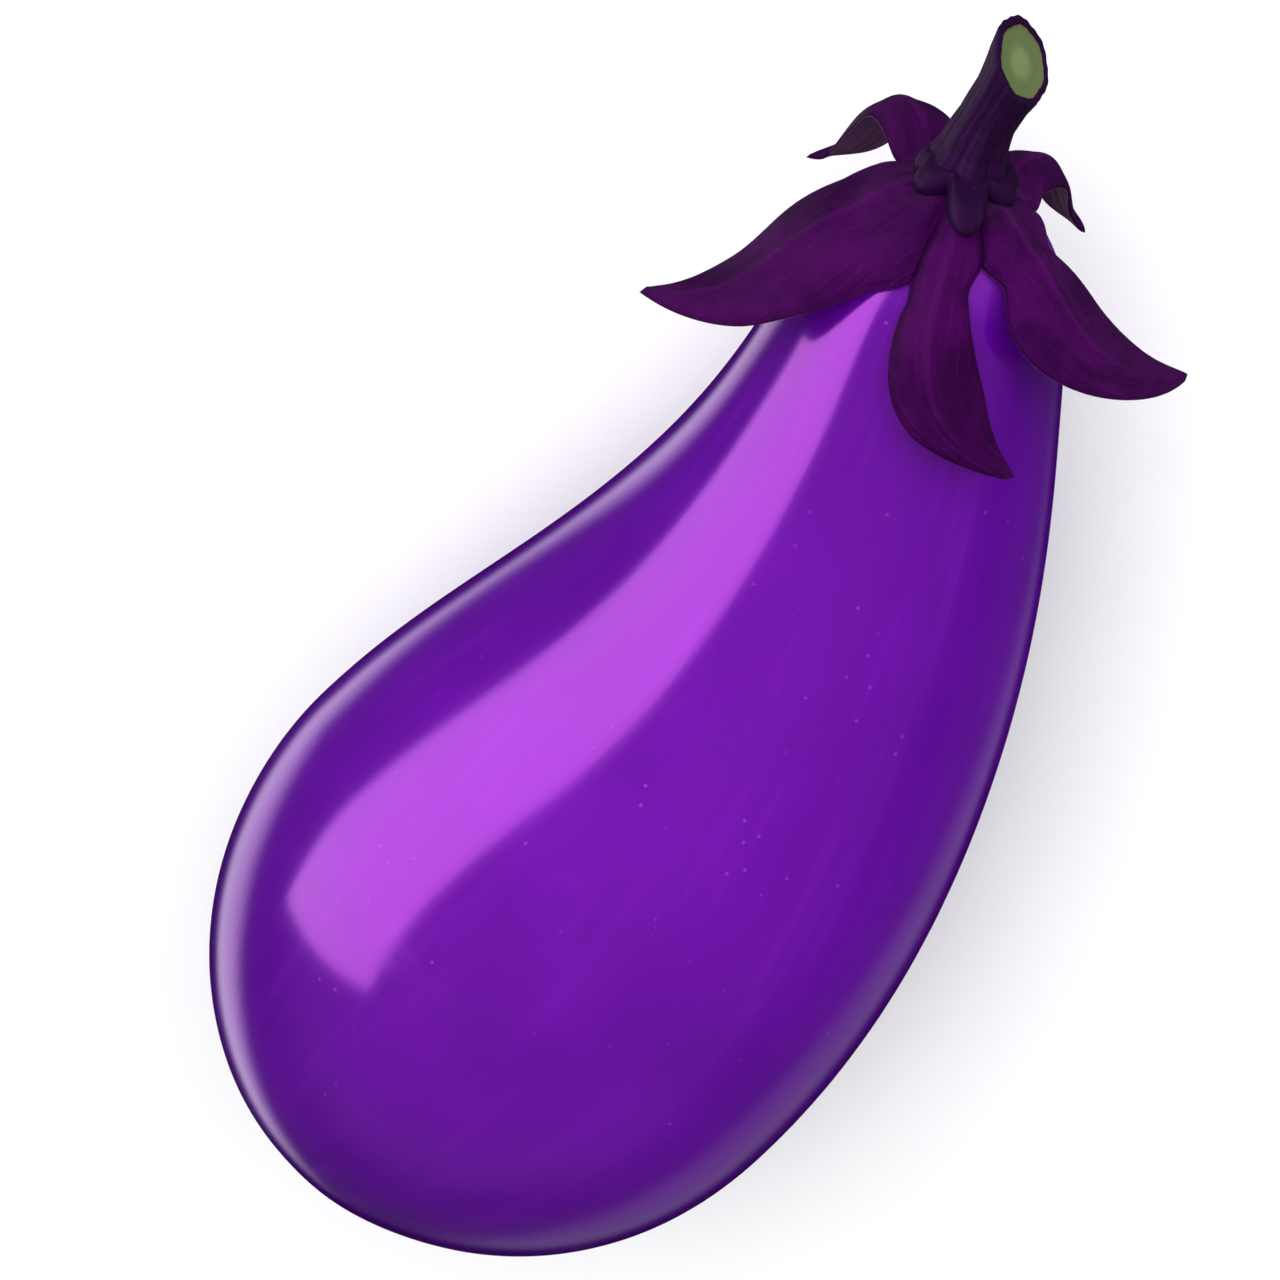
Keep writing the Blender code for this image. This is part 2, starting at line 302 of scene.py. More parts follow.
# heights of a direction at which the room's upper half starts and has its full light
HORIZON = (-0.05, 0.45)
# what the gloss mirrors below the horizon: its general brightness, soft pools of light and a dark patch. Each
# has the direction of its middle and the cosines of its edge and core, and a pool its brightness
MIRRORED_FLOOR = 0.06
LIGHT_POOLS = (
    ((-0.50, 0.45, -0.74), 0.84, 0.95, 1.5),
    ((-0.55, -0.52, -0.65), 0.86, 0.95, 0.20),
)
DARK_PATCH = ((-0.375, 0.0, -0.927), 0.80, 0.90)
FLOOR_GREY = (0.81, 0.81, 0.82, 1.0)
FLOOR_WHITE = (0.84, 0.84, 0.84, 1.0)
FLOOR_HALF_WIDTH = 6.0


def smooth(share):
    """0 before 0, 1 after 1, and an S curve between."""
    share = np.clip(share, 0.0, 1.0)
    return share * share * (3.0 - 2.0 * share)


def hump(distance, width):
    """1 at no distance, falling away to nothing over a few widths."""
    return np.exp(-((distance / width) ** 2))


def unit(vectors):
    return vectors / np.linalg.norm(vectors, axis=-1)[..., None]


def lay_axis():
    """Stations along the fruit's bent axis, with the point, heading and pitch at each."""
    station = np.linspace(0.0, BODY_LENGTH, AXIS_STEPS)
    bent = smooth((station - BEND_FROM) / (BEND_TO - BEND_FROM))
    heading = FIRST_HEADING + SIDE_BEND * bent
    pitch = NECK_LIFT * bent - DROOP
    flat = np.cos(pitch)
    along = np.stack([flat * np.cos(heading), flat * np.sin(heading), np.sin(pitch)], axis=1)
    steps = (along[1:] + along[:-1]) / 2 * np.diff(station)[:, None]
    point = np.vstack([np.zeros(3), np.cumsum(steps, axis=0)]) + np.array(BLOSSOM_END)
    return station, point, heading, pitch


def draw_profile():
    """The turned profile from stem end to blossom end: walk, station, radius and the normal's tilt."""
    spans = (
        (
            (BODY_LENGTH, 0.0),
            (BODY_LENGTH, SHOULDER_HANDLE),
            (NECK_STATION + NECK_HANDLE_UP, NECK_RADIUS - NECK_HANDLE_UP * NECK_TAPER),
            (NECK_STATION, NECK_RADIUS),
        ),
        (
            (NECK_STATION, NECK_RADIUS),
            (NECK_STATION - NECK_HANDLE_DOWN, NECK_RADIUS + NECK_HANDLE_DOWN * NECK_TAPER),
            (BELLY_STATION + BELLY_HANDLE, BELLY_RADIUS),
            (BELLY_STATION, BELLY_RADIUS),
        ),
        (
            (BELLY_STATION, BELLY_RADIUS),
            (BELLY_STATION * (1 - ROUND_HANDLE), BELLY_RADIUS),
            (0.0, BELLY_RADIUS * ROUND_HANDLE),
            (0.0, 0.0),
        ),
    )
    points = []
    for knot_a, handle_a, handle_b, knot_b in spans:
        curve = interpolate_bezier(knot_a, handle_a, handle_b, knot_b, CURVE_POINTS)
        points += [(p[0], p[1]) for p in curve[:-1]]
    station, radius = np.array(points + [(0.0, 0.0)]).T
    walk = np.concatenate([[0.0], np.cumsum(np.hypot(np.diff(station), np.diff(radius)))])
    tilt = np.arctan2(-np.gradient(station, walk), np.gradient(radius, walk))
    return walk, station, radius, tilt


AXIS = lay_axis()
PROFILE = draw_profile()
SKIN_LENGTH = PROFILE[0][-1]


def profile_at(walk):
    """Station, radius and tilt of the skin's normal at these walks."""
    return [np.interp(walk, PROFILE[0], values) for values in PROFILE[1:]]


def axis_frames(station):
    """Points on the axis at these stations, with the directions along it, to its left and up."""
    at = np.stack([np.interp(station, AXIS[0], AXIS[1][:, k]) for k in range(3)], axis=-1)
    heading = np.interp(station, AXIS[0], AXIS[2])
    pitch = np.interp(station, AXIS[0], AXIS[3])
    flat = np.cos(pitch)
    along = np.stack([flat * np.cos(heading), flat * np.sin(heading), np.sin(pitch)], axis=-1)
    left = np.stack([-np.sin(heading), np.cos(heading), np.zeros_like(heading)], axis=-1)
    return at, along, left, np.cross(along, left)


def skin_points(walk, turn, height=0.0):
    """Points over the fruit's skin, at these heights along its normal, and the normals."""
    walk, turn, height = np.broadcast_arrays(walk, turn, height)
    station, radius, tilt = profile_at(walk)
    at, along, left, up = axis_frames(station)
    out = up * np.cos(turn)[..., None] + left * np.sin(turn)[..., None]
    normal = along * np.cos(tilt)[..., None] + out * np.sin(tilt)[..., None]
    return at + out * radius[..., None] + normal * height[..., None], normal


def ring_faces(rows, sides):
    """Quads between rings of vertices that are numbered row by row."""
    row, side = np.meshgrid(np.arange(rows - 1) * sides, np.arange(sides), indexing="ij")
    after = (side + 1) % sides
    quads = np.stack([row + side, row + after, row + sides + after, row + sides + side], axis=-1)
    return [tuple(quad) for quad in quads.reshape(-1, 4).tolist()]


def fan_faces(first, sides, hub, outward):
    """Triangles from a ring of vertices to its hub."""
    ends = [(first + k, first + (k + 1) % sides) for k in range(sides)]
    return [(a, b, hub) if outward else (b, a, hub) for a, b in ends]


def make_piece(name, points, faces, finishes, places, node):
    """A smooth mesh piece in the place of a node, with places stored on its vertices for its finishes."""
    mesh = bpy.data.meshes.new(name)
    mesh.from_pydata(points.tolist(), [], faces)
    for place_name, values in places.items():
        stored = mesh.attributes.new(place_name, "FLOAT_VECTOR", "POINT")
        stored.data.foreach_set("vector", np.ascontiguousarray(values, dtype=np.float32).ravel())
    mesh.shade_smooth()
    for finish in finishes:
        mesh.materials.append(finish)
    piece = bpy.data.objects.new(name, mesh)
    bpy.context.scene.collection.objects.link(piece)
    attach(piece, "root")
    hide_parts(node)
    return piece


class Field:
    """One output of a node: a value that can be reckoned with, or a colour or vector to pass on."""

    def __init__(self, finish, socket):
        self.finish = finish
        self.socket = socket

    def reckon(self, operation, first, second):
        return self.finish.add("ShaderNodeMath", {"operation": operation}, {0: first, 1: second})

    def __add__(self, other):
        return self.reckon("ADD", self, other)

    def __radd__(self, other):
        return self.reckon("ADD", other, self)

    def __sub__(self, other):
        return self.reckon("SUBTRACT", self, other)

    def __rsub__(self, other):
        return self.reckon("SUBTRACT", other, self)

    def __mul__(self, other):
        return self.reckon("MULTIPLY", self, other)

    def __rmul__(self, other):
        return self.reckon("MULTIPLY", other, self)

    def __abs__(self):
        return self.reckon("ABSOLUTE", self, 0.0)


class Finish:
    """A material, or the room round the eggplant, in the making: nodes round its shader."""

    def __init__(self, made, shader="Principled BSDF", place="Object"):
        made.use_nodes = True
        self.made = made
        self.tree = made.node_tree
        self.shader = self.tree.nodes[shader]
        self.solid = self.add("ShaderNodeTexCoord", {}, {}, place)

    def add(self, kind, settings, sockets, output=0):
        """A node, its settings made before its sockets' values and links, as one of its outputs."""
        node = self.tree.nodes.new(kind)
        for name, value in settings.items():
            setattr(node, name, value)
        for name, value in sockets.items():
            self.feed(node.inputs[name], value)
        return Field(self, node.outputs[output])

    def feed(self, socket, value):
        if isinstance(value, Field):
            self.tree.links.new(value.socket, socket)
        else:
            socket.default_value = value

    def shade(self, **values):
        """Sets or links the shader's sockets, whose spaces are written as underscores."""
        for name, value in values.items():
            self.feed(self.shader.inputs[name.replace("_", " ")], value)

    def stored(self, name):
        """A place stored on the vertices, as a vector."""
        return self.add("ShaderNodeAttribute", {"attribute_name": name}, {}, "Vector")

    def parts(self, vector):
        """The three values of a vector."""
        split = self.add("ShaderNodeSeparateXYZ", {}, {"Vector": vector})
        return [Field(self, socket) for socket in split.socket.node.outputs]

    def stretch(self, vector, scale):
        return self.add("ShaderNodeVectorMath", {"operation": "MULTIPLY"}, {0: vector, 1: scale})

    def grain(self, vector, scale, detail=3.0, roughness=0.5, warp=0.0):
        """Soft noise from 0 to 1, with about this many spots in a metre."""
        values = {"Vector": vector, "Scale": scale, "Detail": detail, "Roughness": roughness}
        return self.add("ShaderNodeTexNoise", {}, {**values, "Distortion": warp}, "Fac")

    def dots(self, scale, core, rim):
        """Round dots, about this many in a metre: 1 at each dot's core, 0 outside its rim."""
        distance = self.add("ShaderNodeTexVoronoi", {}, {"Vector": self.solid, "Scale": scale}, "Distance")
        return self.step(distance, rim, core)

    def patch(self, middle, edge, core):
        """1 for directions near a middle one, 0 for the others, from the cosines of its edge and core."""
        sockets = {0: self.solid, 1: middle}
        nearness = self.add("ShaderNodeVectorMath", {"operation": "DOT_PRODUCT"}, sockets, "Value")
        return self.step(nearness, edge, core)

    def step(self, value, low, high):
        """0 up to low, 1 from high on, with a smooth rise between. It falls where high is under low."""
        values = {"Value": value, "From Min": low, "From Max": high}
        return self.add("ShaderNodeMapRange", {"interpolation_type": "SMOOTHSTEP"}, values)

    def blend(self, factor, first, second):
        """A mix of two colours."""
        sockets = {MIX_FACTOR: factor, MIX_FIRST: first, MIX_SECOND: second}
        return self.add("ShaderNodeMix", {"data_type": "RGBA"}, sockets, MIX_RESULT)

    def bump(self, height, distance):
        return self.add("ShaderNodeBump", {}, {"Height": height, "Distance": distance})


def skin_finish():
    """Tight glossy purple skin: streaks along the fruit, specks, scuffs, a dry scar at the blossom end."""
    finish = Finish(bpy.data.materials.new("eggplant_skin"))
    solid = finish.solid
    place = finish.stored("skin_place")
    walk = finish.parts(place)[2]
    streaks = finish.grain(finish.stretch(place, ALONG_SKIN), 420.0, detail=4.0, roughness=0.6)
    patches = finish.grain(solid, 26.0, detail=2.0)
    colour = finish.blend(finish.step(patches, 0.35, 0.65), DEEP_PURPLE, LIVELY_PURPLE)
    colour = finish.blend(finish.step(streaks, 0.50, 0.74) * STREAK_STRENGTH, colour, BRIGHT_STREAK)
    specks = finish.dots(330.0, core=0.05, rim=0.12) * finish.step(finish.grain(solid, 90.0), 0.46, 0.64)
    colour = finish.blend(specks * SPECK_STRENGTH, colour, PALE_SPECK)
    shoulder = finish.step(walk + finish.grain(place, 300.0) * SHOULDER_WANDER, *SHOULDER_WALKS)
    colour = finish.blend(shoulder * SHOULDER_STRENGTH, colour, PALE_SHOULDER)
    ragged = finish.grain(solid, 700.0, detail=2.0) - 0.5
    to_blossom = SKIN_LENGTH - walk + ragged * SCAR_WANDER
    scar = finish.step(to_blossom, SCAR_RADIUS * 1.15, SCAR_RADIUS * 0.85)
    halo = finish.step(to_blossom, SCAR_RADIUS * 3.0, SCAR_RADIUS)
    cork = finish.blend(finish.grain(solid, 1500.0, detail=4.0, roughness=0.7), DARK_CORK, PALE_CORK)
    colour = finish.blend(halo * HALO_STRENGTH, colour, DULL_HALO)
    colour = finish.blend(scar, colour, cork)
    drawn_out = finish.stretch(solid, ALONG_SCUFFS)
    scratches = finish.grain(drawn_out, 75.0, detail=6.0, roughness=0.65, warp=0.8)
    scuffs = finish.step(scratches, 0.60, 0.74)
    rough = 0.13 + patches * 0.05 + scuffs * 0.08 + specks * 0.10 + scar * 0.45
    height = streaks * 0.4 + finish.grain(solid, 1500.0) * scar * 5.0
    finish.shade(Base_Color=colour, Roughness=rough, Normal=finish.bump(height, SKIN_BUMP))
    finish.shade(Specular_Tint=SKIN_SHEEN, Specular_IOR_Level=1.0, IOR=1.65)
    finish.shade(Coat_Weight=0.02, Coat_Roughness=0.03)
    return finish.made


def calyx_finish():
    """Fleshy plum lobes: lengthwise fibres, darker margins, a little green by the stem, a paler lining."""
    finish = Finish(bpy.data.materials.new("calyx_leather"))
    solid = finish.solid
    leaf = finish.stored("leaf_millimetres")
    aside, onward, inset = finish.parts(leaf)
    share, outer = finish.parts(finish.stored("leaf_shares"))[:2]
    wander = finish.grain(solid, 260.0, detail=2.0) - 0.5
    vein = finish.step(abs(aside + wander * 0.5), *VEIN_REACH) * finish.step(share, 1.0, 0.55)
    # its spots are counted in a millimetre, because the stored places are in millimetres
    fibres = finish.grain(finish.stretch(leaf, ALONG_LEAF), 1.1, detail=4.0, roughness=0.6, warp=0.3)
    patches = finish.grain(solid, 110.0, detail=4.0, roughness=0.6)
    mottle = finish.grain(solid, 420.0, detail=4.0, roughness=0.6)
    colour = finish.blend(finish.step(patches, 0.36, 0.62), DARK_PLUM, PLUM)
    colour = finish.blend(finish.step(inset, *MARGIN_REACH) * MARGIN_STRENGTH, colour, DARK_PLUM)
    colour = finish.blend(finish.step(fibres, 0.50, 0.72) * VEIN_STRENGTH, colour, VEIN_PLUM)
    colour = finish.blend(vein * VEIN_STRENGTH, colour, VEIN_PLUM)
    colour = finish.blend(finish.step(mottle, 0.55, 0.75) * MOTTLE_STRENGTH, colour, DARK_PLUM)
    flush = finish.step(onward, *FLUSH_REACH) * finish.step(finish.grain(solid, 330.0), 0.42, 0.62)
    colour = finish.blend(flush * FLUSH_STRENGTH, colour, GREEN_FLUSH)
    colour = finish.blend(finish.step(outer, 0.5, 0.0) * LINING_STRENGTH, colour, PALE_LINING)
    fuzz = finish.grain(solid, 4200.0, roughness=0.6)
    rough = 0.42 + mottle * 0.16 - vein * 0.05
    height = fibres * 1.5 + vein * 0.5 + mottle * 0.6 + fuzz * 0.25
    finish.shade(Base_Color=colour, Roughness=rough, Normal=finish.bump(height, CALYX_BUMP))
    finish.shade(Specular_Tint=CALYX_SHEEN, Specular_IOR_Level=0.1)
    return finish.made


def bark_finish():
    """Dark ribbed bark with fine lengthwise grain, small dry specks and a dull surface."""
    finish = Finish(bpy.data.materials.new("stem_bark"))
    solid = finish.solid
    lengthwise = finish.stretch(finish.stored("stalk_place"), ALONG_STALK)
    fibres = finish.grain(lengthwise, 1900.0, detail=4.0, roughness=0.65)
    colour = finish.blend(finish.step(fibres, 0.50, 0.75) * BARK_GRAIN_STRENGTH, BARK, PALE_BARK)
    corky = finish.dots(900.0, core=0.08, rim=0.20) * finish.step(finish.grain(solid, 420.0), 0.52, 0.66)
    colour = finish.blend(corky * DRY_BARK_STRENGTH, colour, DRY_BARK)
    rough = 0.50 + fibres * 0.18
    height = fibres + corky * 0.8
    finish.shade(Base_Color=colour, Roughness=rough, Normal=finish.bump(height, BARK_BUMP))
    finish.shade(Specular_Tint=BARK_SHEEN, Specular_IOR_Level=0.2)
    return finish.made


def flesh_finish():
    """The pale green cut end: a firm ring of fibres under the bark and a paler pith."""
    finish = Finish(bpy.data.materials.new("stem_cut_flesh"))
    solid = finish.solid
    out = finish.parts(finish.stored("cut_place"))[0]
    mottle = finish.grain(solid, 2300.0, detail=4.0, roughness=0.6)
    reach = out + (finish.grain(solid, 900.0, detail=2.0) - 0.5) * 0.10
    ring = finish.step(abs(reach - FIBRE_RING), *FIBRE_RING_WIDTHS)
    fibres = ring * finish.dots(2600.0, core=0.20, rim=0.42)
    colour = finish.blend(finish.step(reach, *PITH_REACH), FLESH_GREEN, PITH)
    colour = finish.blend(fibres * FIBRE_RING_STRENGTH, colour, PITH)
    colour = finish.blend(finish.step(mottle, 0.5, 0.8) * DRY_MOTTLE_STRENGTH, colour, DRY_EDGE)
    colour = finish.blend(finish.step(reach, *DRY_REACH) * DRY_EDGE_STRENGTH, colour, DRY_EDGE)
    knife = finish.grain(finish.stretch(solid, ALONG_KNIFE), 1700.0)
    rough = 0.55 + mottle * 0.15
    height = mottle * 0.6 + knife * 0.5 + fibres * 0.5
    finish.shade(Base_Color=colour, Roughness=rough, Normal=finish.bump(height, FLESH_BUMP))
    finish.shade(Specular_IOR_Level=0.3)
    return finish.made


def skin_relief(walk, turn):
    """How far the skin stands off the plain pear shape: faint swells, and a dimple with a low scar."""
    height = np.zeros_like(walk)
    for amplitude, waves_round, waves_along, phase in SWELLS:
        height += amplitude * np.sin(waves_round * turn + tau * waves_along * walk / SKIN_LENGTH + phase)
    to_blossom = SKIN_LENGTH - walk
    height *= smooth((walk - max(SINUS_WALKS)) / SWELL_FADE) * smooth(to_blossom / SWELL_FADE)
    height -= DIMPLE_DEPTH * hump(to_blossom, DIMPLE_WIDTH)
    edge = SCAR_RADIUS
    for amplitude, waves_round, phase in SCAR_WOBBLES:
        edge = edge + SCAR_RADIUS * amplitude * np.sin(waves_round * turn + phase)
    return height + SCAR_HEIGHT * smooth((edge * SCAR_FOOT - to_blossom) / (edge * SCAR_SLOPE))


def make_fruit():
    """The fruit: a fine smooth skin, flattened softly where it rests."""
    steps = np.linspace(1.0, 0.0, FRUIT_RINGS + 2)[1:-1]
    rings = SKIN_LENGTH * (1.0 - steps**RING_CROWDING)
    turns = tau * np.arange(FRUIT_SIDES) / FRUIT_SIDES
    walk = np.append(np.repeat(rings, FRUIT_SIDES), [0.0, SKIN_LENGTH])
    turn = np.append(np.tile(turns, FRUIT_RINGS), [0.0, 0.0])
    points = skin_points(walk, turn, skin_relief(walk, turn))[0]
    # the heights run softly into 0 where the plain shape would go below it
    points[:, 2] = (points[:, 2] + np.hypot(points[:, 2], FLAT_ROUNDING)) / 2
    points[:, 2] -= points[:, 2].min()
    girth = NECK_RADIUS * smooth(np.minimum(walk, SKIN_LENGTH - walk) / NECK_RADIUS)
    place = np.stack([girth * np.cos(turn), girth * np.sin(turn), walk], axis=1)
    last_ring = (FRUIT_RINGS - 1) * FRUIT_SIDES
    faces = ring_faces(FRUIT_RINGS, FRUIT_SIDES)
    faces += fan_faces(0, FRUIT_SIDES, len(points) - 2, False)
    faces += fan_faces(last_ring, FRUIT_SIDES, len(points) - 1, True)
    make_piece("fruit_skin", points, faces, [skin_finish()], {"skin_place": place}, "fruit")


def lobe_borders():
    """The turns at which each lobe starts and ends. Two neighbours part the space between them by the
    widths of their roots."""
    starts, ends = [], []
    for k, lobe in enumerate(LOBES):
        before, after = LOBES[k - 1], LOBES[(k + 1) % len(LOBES)]
        turn, root_width = radians(lobe[0]), lobe[2] * lobe[6]
        gap_before = (turn - radians(before[0])) % tau
        gap_after = (radians(after[0]) - turn) % tau
        starts.append(turn - gap_before * root_width / (root_width + before[2] * before[6]))
        ends.append(turn + gap_after * root_width / (root_width + after[2] * after[6]))
    return starts, ends


def root_walk(k, across):
    """The walk to a lobe's root, from the notch before it (across -1) to the one after it (across 1)."""
    return np.interp(across, (-1.0, 1.0), (SINUS_WALKS[k - 1], SINUS_WALKS[k]))


def midrib(aside, share):
    """The raised midrib, broad at the stem and fading out at the tip."""
    broad = 1.0 - smooth(share / MIDRIB_BROAD_SHARE)
    width = MIDRIB_WIDTH * (1.0 + MIDRIB_BROADENING * broad)
    return MIDRIB_HEIGHT * hump(aside, width) * (1.0 - share) ** MIDRIB_FADE


def collar_part(k, start, end):
    """Lobe k's part of the collar round the stem's foot: points, normals, thickness, share and places."""
    turn = radians(LOBES[k][0])
    across = np.linspace(-1.0, 1.0, LOBE_COLUMNS + 1)[:-1]
    sector = np.where(across < 0, turn - start, end - turn)
    step = np.linspace(0.0, 1.0, COLLAR_ROWS + 1)[:, None]
    walk = HOLE_RADIUS + (root_walk(k, across) - HOLE_RADIUS) * step
    radius = profile_at(walk)[1]
    aside = sector * across * radius
    inset = sector * (1.0 - np.abs(across)) * radius
    points, normals = skin_points(walk, turn + sector * across, GROWTH_GAP - SETTLE)
    crease = CREASE_DEPTH * hump(inset, CREASE_WIDTH) * smooth((walk - SKIRT_WALK) / CREASE_FADE)
    share = np.zeros_like(walk)
    return points, normals, CALYX_THICKNESS - crease + midrib(aside, share), share, (aside, walk, inset)


def lobe_part(k, start, end):
    """Lobe k beyond the collar: points, normals, thickness, share of its length and places."""
    turn_deg, reach, half_width, lift, arch, tip_turn, root_share, fullness = LOBES[k]
    shares = np.linspace(0.0, 1.0, LOBE_ROWS + 1)[1:]
    share, across = np.meshgrid(shares, np.linspace(-1.0, 1.0, LOBE_COLUMNS + 1), indexing="ij")
    root = root_walk(k, across)
    walk = root + (reach - root) * (share - TIP_CURL * share**CURL_POWER)
    height = GROWTH_GAP + lift * share**LIFT_POWER + arch * np.sin(pi * share**ARCH_POWER) ** 2
    radius, tilt = profile_at(walk)[1:]
    girth = radius + height * np.sin(tilt)
    opened = smooth(share / SLIT_SHARE)
    turn = radians(turn_deg)
    sector = np.where(across < 0, turn - start, end - turn) - NOTCH * opened / girth
    widened = root_share + (1.0 - root_share) * smooth(share / WIDENED_SHARE)
    spread = half_width * widened * (1.0 - share**fullness)
    blade = np.minimum(spread / girth, sector)
    swing = sector * (1.0 - opened) + blade * opened
    sweep = radians(tip_turn) * share**SWEEP_POWER
    crown = BLADE_CROWN * (1.0 - across**2) * opened * (1.0 - share)
    ripple = np.sin(tau * MARGIN_WAVES * share + 2.0 * turn + across)
    wave = MARGIN_WAVE * across**4 * ripple * opened * (1.0 - share**2)
    settled = SETTLE * (1.0 - smooth(share / SETTLED_SHARE))
    points, normals = skin_points(walk, turn + swing * across + sweep, height + crown + wave - settled)
    aside = swing * across * girth
    inset = swing * (1.0 - np.abs(across)) * girth
    edge = 1.0 - EDGE_THINNING * np.abs(across) ** EDGE_POWER * opened
    flesh = CALYX_THICKNESS * edge * (1.0 - TIP_THINNING * share)
    flesh *= np.maximum(TIP_THICKNESS, np.sqrt(1.0 - share**TIP_SQUARENESS))
    rounding = (1.0 - MARGIN_THICKNESS) * (1.0 - np.sqrt(1.0 - np.abs(across) ** MARGIN_SQUARENESS))
    flesh = flesh * (1.0 - rounding * opened) + midrib(aside, share)
    flesh = flesh - CREASE_DEPTH * hump(inset, CREASE_WIDTH) * (1.0 - opened)
    return points, normals, flesh, share, (aside, walk, inset)


def thicken(points, uprights, faces, thickness, freedom):
    """Closes a sheet into a body. Its outer face stands off along the fruit's normal at the root, and along
    the sheet's own normal where it is free."""
    normals = np.zeros_like(points)
    for size in (3, 4):
        corners = np.array([face for face in faces if len(face) == size])
        across = points[corners[:, -1]] - points[corners[:, 1]]
        crossed = np.cross(points[corners[:, 2]] - points[corners[:, 0]], across)
        for k in range(size):
            np.add.at(normals, corners[:, k], crossed)
    freedom = freedom[:, None]
    outward = unit(unit(normals) * freedom + uprights * (1.0 - freedom))
    lift = len(points)
    edges = {(a, b) for face in faces for a, b in zip(face, face[1:] + face[:1])}
    rims = [(b, a, a + lift, b + lift) for a, b in edges if (b, a) not in edges]
    outer = [tuple(corner + lift for corner in face) for face in faces]
    inner = [tuple(reversed(face)) for face in faces]
    return np.vstack([points, points + outward * thickness[:, None]]), inner + outer + sorted(rims)


def make_calyx():
    """The calyx: a creased collar round the stem's foot, parted into five crowned lobes with midribs."""
    starts, ends = lobe_borders()
    sides = len(LOBES) * LOBE_COLUMNS
    collars = [collar_part(k, starts[k], ends[k]) for k in range(len(LOBES))]
    places = [np.concatenate([part[4][j] for part in collars], axis=1) for j in range(3)]
    sheets = [[np.concatenate([part[j] for part in collars], axis=1) for j in range(4)] + [places]]
    faces = ring_faces(COLLAR_ROWS + 1, sides)
    count = (COLLAR_ROWS + 1) * sides
    width = LOBE_COLUMNS + 1
    kept = (LOBE_ROWS - 1) * width + 1
    for k in range(len(LOBES)):
        sheets.append(lobe_part(k, starts[k], ends[k]))
        low = [COLLAR_ROWS * sides + (k * LOBE_COLUMNS + j) % sides for j in range(width)]
        for i in range(LOBE_ROWS - 1):
            high = [count + i * width + j for j in range(width)]
            faces += [(low[j], low[j + 1], high[j + 1], high[j]) for j in range(LOBE_COLUMNS)]
            low = high
        count += kept
        faces += [(low[j], low[j + 1], count - 1) for j in range(LOBE_COLUMNS)]
    points, normals, flesh, share, places = [], [], [], [], []
    for n, sheet in enumerate(sheets):
        last = kept if n else None
        points.append(sheet[0].reshape(-1, 3)[:last])
        normals.append(sheet[1].reshape(-1, 3)[:last])
        flesh.append(sheet[2].ravel()[:last])
        share.append(sheet[3].ravel()[:last])
        places.append(np.stack([place.ravel()[:last] for place in sheet[4]], axis=1) * 1000.0)
    share = np.concatenate(share)
    freedom = smooth(share / FREED_SHARE)
    points, faces = thicken(np.vstack(points), np.vstack(normals), faces, np.concatenate(flesh), freedom)
    outer = np.repeat([0.0, 1.0], len(share))
    shares = np.stack([np.tile(share, 2), outer, outer * 0.0], axis=1)
    stored = {"leaf_millimetres": np.tile(np.vstack(places), (2, 1)), "leaf_shares": shares}
    make_piece("calyx_lobes", points, faces, [calyx_finish()], stored, "calyx")


def stem_lines(height):
    """Points on the stem's own curved axis at these heights over the fruit, with its directions."""
    at, along, left, up = axis_frames(np.float64(BODY_LENGTH))
    height = np.asarray(height, dtype=float)[..., None]
    lean = up * cos(LEAN_TURN) - left * sin(LEAN_TURN)
    angle = STEM_LEAN * smooth(height / STEM_HEIGHT)
    place = at + along * height * np.cos(angle / 2) + lean * height * np.sin(angle / 2)
    tangent = along * np.cos(angle) + lean * np.sin(angle)
    side = unit(np.cross(up, tangent))
    return place, tangent, side, np.cross(tangent, side)


def skirt_reach(turn):
    """How far the skirt reaches from the middle of the stem, with its toes."""
    place = (turn - FIRST_TOE) * len(TOE_LENGTHS) / tau
    nearest = np.round(place)
    lengths = np.take(TOE_LENGTHS, nearest.astype(int) % len(TOE_LENGTHS))
    return SKIRT_WALK + lengths * np.cos(pi * (place - nearest)) ** TOE_POWER


def stalk_points(height, turn):
    """Points on the stalk's ribbed bark."""
    place, tangent, side, up = stem_lines(height)
    fading = 1.0 - RIDGE_FADING * height / STEM_HEIGHT
    ribs = RIDGE * np.cos(len(TOE_LENGTHS) * (turn - FIRST_TOE)) * fading
    fine = FINE_RIDGE * np.sin(FINE_RIDGES * turn + FINE_TWIST * height)
    radius = np.interp(height, STALK_HEIGHTS, STALK_RADII) * (1.0 + ribs + fine)
    return place + (up * np.cos(turn)[..., None] + side * np.sin(turn)[..., None]) * radius[..., None]


def cut_heights(turn):
    """The height at which each line of the bark meets the slanting cut, and the way the cut faces."""
    at, tangent, side, up = stem_lines(STEM_HEIGHT)
    facing = tangent * cos(CUT_TILT) + (up * cos(CUT_TURN) - side * sin(CUT_TURN)) * sin(CUT_TILT)
    low = np.full_like(turn, STALK_START)
    high = np.full_like(turn, STEM_HEIGHT * STALK_OVERRUN)
    for halving in range(CUT_HALVINGS):
        middle = (low + high) / 2
        beyond = (stalk_points(middle, turn) - at) @ facing > 0
        high = np.where(beyond, middle, high)
        low = np.where(beyond, low, middle)
    return low, facing


